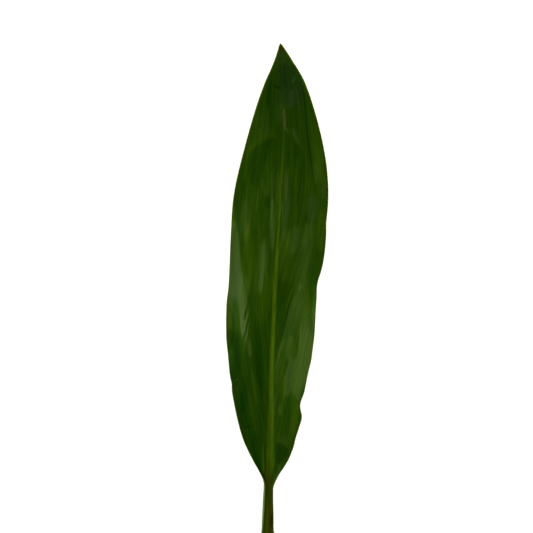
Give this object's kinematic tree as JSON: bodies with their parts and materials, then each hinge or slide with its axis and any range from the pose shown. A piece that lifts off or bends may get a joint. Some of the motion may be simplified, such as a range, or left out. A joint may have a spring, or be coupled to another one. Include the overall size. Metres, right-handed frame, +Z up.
{
  "type": "ti leaf",
  "caption": "Long pointed cut leaf with a grooved midrib, softly waved margins and a channelled stalk, lying on a flat surface.",
  "frame": {"origin": "on the surface that the leaf lies on, under the middle of its bounding box", "axes": "+Y along the leaf from its cut stalk to its tip, +Z up out of its upper face, +X to the right seen from above with the tip away"},
  "size_m": [0.1023, 0.518, 0.0167],
  "materials": {
    "leaf": "fresh green leaf, waxy and softly glossy, with a paler yellow-green midrib and an olive stalk"
  },
  "bodies": {
    "root": {"ti_leaf": "leaf"}
  },
  "joints": []
}
